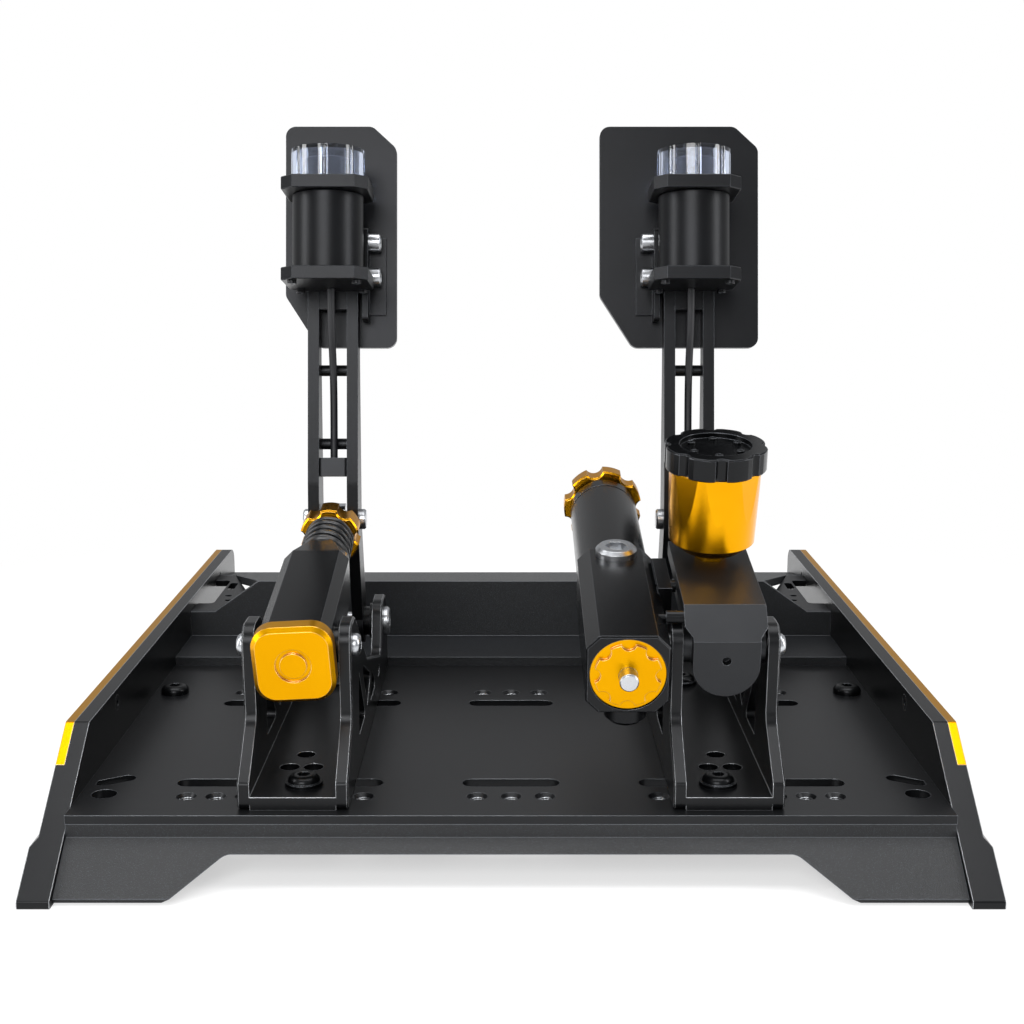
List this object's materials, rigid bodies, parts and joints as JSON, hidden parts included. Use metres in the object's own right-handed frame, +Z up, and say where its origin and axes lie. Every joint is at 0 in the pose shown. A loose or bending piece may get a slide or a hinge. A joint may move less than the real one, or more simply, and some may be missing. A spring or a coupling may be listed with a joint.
{
  "type": "sim racing pedal set",
  "caption": "Racing simulator pedal set in black and gold: throttle with coil-over damper, hydraulic brake with fluid reservoir, vibration motors, slotted deck and heel plate.",
  "frame": {"origin": "centre of the set's footprint, on the floor", "axes": "+X to the right seen from the damper end, with the brake at +X; +Y from the damper end towards the driver's heels; +Z up"},
  "size_m": [0.418, 0.462, 0.3356],
  "materials": {
    "satin_black": "satin black anodised aluminium",
    "black_edge": "satin black anodised aluminium with bright bevels",
    "gold": "gold anodised aluminium",
    "black_powder": "fine textured black powder coat",
    "grey_anodised": "grey anodised aluminium",
    "black_screw": "black oxide steel",
    "bright_steel": "bright zinc plated steel",
    "chrome_rod": "hard chromed steel",
    "bronze": "sintered bronze",
    "spring_black": "black coated spring steel",
    "clear_cap": "clear moulded polycarbonate",
    "dark_plastic": "matt black nylon",
    "cable_black": "black cable sheath"
  },
  "bodies": {
    "base": {"side_plate_right": "black_edge", "side_plate_left": "black_edge", "trim_strip_right": "gold", "trim_strip_left": "gold", "strip_screws": "black_screw", "side_screws": "black_screw", "deck_plate": "satin_black", "corner_screws": "black_screw", "front_apron": "black_powder", "heel_member": "black_powder", "heel_wing_right": "satin_black", "heel_wing_left": "satin_black", "throttle_bracket": "satin_black", "throttle_bracket_bolts": "black_screw", "throttle_trunnion_screws": "bright_steel", "throttle_pivot_pin": "bright_steel", "brake_bracket": "satin_black", "brake_bracket_bolts": "black_screw", "brake_trunnion_screws": "bright_steel", "brake_pivot_pin": "bright_steel"},
    "throttle_arm": {"throttle_arm_plates": "satin_black", "throttle_arm_spacers": "bright_steel", "throttle_arm_bushes": "bronze", "throttle_rod_pin": "bright_steel", "throttle_pedal_face": "satin_black", "throttle_face_clamp": "satin_black", "throttle_clamp_screws": "black_screw", "throttle_motor_can": "satin_black", "throttle_motor_flanges": "satin_black", "throttle_motor_cap": "clear_cap", "throttle_motor_cable": "cable_black"},
    "throttle_rotor": {"throttle_motor_rotor": "dark_plastic"},
    "throttle_damper": {"throttle_damper_body": "satin_black", "throttle_spring": "spring_black"},
    "throttle_dial": {"throttle_damping_dial": "gold"},
    "throttle_rod": {"throttle_damper_rod": "chrome_rod"},
    "throttle_preload": {"throttle_preload_knob": "gold"},
    "brake_arm": {"brake_arm_plates": "satin_black", "brake_arm_spacers": "bright_steel", "brake_arm_bushes": "bronze", "brake_rod_pin": "bright_steel", "brake_pedal_face": "satin_black", "brake_face_clamp": "satin_black", "brake_clamp_screws": "black_screw", "brake_motor_can": "satin_black", "brake_motor_flanges": "satin_black", "brake_motor_cap": "clear_cap", "brake_motor_cable": "cable_black"},
    "brake_rotor": {"brake_motor_rotor": "dark_plastic"},
    "brake_cylinder": {"brake_master_cylinder": "grey_anodised", "brake_reservoir": "gold", "brake_side_cylinder": "satin_black", "brake_adjuster_shaft": "bright_steel", "brake_socket_plug": "bright_steel", "brake_hose_fitting": "black_screw", "brake_standoffs": "bright_steel"},
    "brake_rod": {"brake_push_rod": "chrome_rod"},
    "brake_stiffness": {"brake_near_knob": "gold"},
    "brake_travel": {"brake_far_knob": "gold"},
    "brake_lid": {"brake_reservoir_lid": "satin_black"}
  },
  "joints": [
    {"name": "throttle_arm_swing", "type": "hinge", "parent": "base", "child": "throttle_arm", "pos_m": [-0.096, 0.009, 0.063], "axis": [1, 0, 0], "range_deg": [0, 15], "stiffness_Nm_per_rad": 8, "springref_deg": -20.05},
    {"name": "throttle_damper_swing", "type": "hinge", "parent": "base", "child": "throttle_damper", "pos_m": [-0.096, -0.163, 0.097], "axis": [1, 0, 0], "range_deg": [-2, 0.5]},
    {"name": "throttle_rod_slide", "type": "slide", "parent": "throttle_damper", "child": "throttle_rod", "axis": [0, 0.9839, 0.1789], "range_m": [-0.0175, 0.0005], "deforming": ["throttle_spring"]},
    {"name": "throttle_dial_turn", "type": "hinge", "parent": "throttle_damper", "child": "throttle_dial", "pos_m": [-0.096, -0.17973, 0.09396], "axis": [0, 0.9839, 0.1789], "range_deg": [-135, 135]},
    {"name": "throttle_preload_turn", "type": "hinge", "parent": "throttle_rod", "child": "throttle_preload", "pos_m": [-0.096, -0.03018, 0.12115], "axis": [0, 0.9839, 0.1789], "range_deg": [-180, 180]},
    {"name": "throttle_rotor_spin", "type": "hinge", "parent": "throttle_arm", "child": "throttle_rotor", "pos_m": [-0.096, -0.00846, 0.30784], "axis": [0, 0.1908, 0.9816], "continuous": true},
    {"name": "brake_arm_swing", "type": "hinge", "parent": "base", "child": "brake_arm", "pos_m": [0.096, 0.009, 0.063], "axis": [1, 0, 0], "range_deg": [0, 8], "stiffness_Nm_per_rad": 150, "springref_deg": -2.29},
    {"name": "brake_cylinder_swing", "type": "hinge", "parent": "base", "child": "brake_cylinder", "pos_m": [0.096, -0.163, 0.097], "axis": [1, 0, 0], "range_deg": [-1, 0.5]},
    {"name": "brake_rod_slide", "type": "slide", "parent": "brake_cylinder", "child": "brake_rod", "axis": [0, 0.9839, 0.1789], "range_m": [-0.0095, 0.0005]},
    {"name": "brake_stiffness_turn", "type": "hinge", "parent": "brake_cylinder", "child": "brake_stiffness", "pos_m": [0.051, -0.19055, 0.09199], "axis": [0, 0.9839, 0.1789], "range_deg": [-150, 150]},
    {"name": "brake_travel_turn", "type": "hinge", "parent": "brake_cylinder", "child": "brake_travel", "pos_m": [0.051, 0.01164, 0.12875], "axis": [0, 0.9839, 0.1789], "range_deg": [-150, 150]},
    {"name": "brake_lid_turn", "type": "hinge", "parent": "brake_cylinder", "child": "brake_lid", "pos_m": [0.096, -0.12141, 0.17571], "axis": [0, -0.1789, 0.9839], "range_deg": [0, 170]},
    {"name": "brake_rotor_spin", "type": "hinge", "parent": "brake_arm", "child": "brake_rotor", "pos_m": [0.096, -0.00846, 0.30784], "axis": [0, 0.1908, 0.9816], "continuous": true}
  ],
  "couplings": [
    {"joint": "throttle_damper_swing", "follows": "throttle_arm_swing", "ratio": -0.0949},
    {"joint": "throttle_rod_slide", "follows": "throttle_arm_swing", "m_per_rad": -0.0628},
    {"joint": "brake_cylinder_swing", "follows": "brake_arm_swing", "ratio": -0.0693},
    {"joint": "brake_rod_slide", "follows": "brake_arm_swing", "m_per_rad": -0.06363}
  ]
}
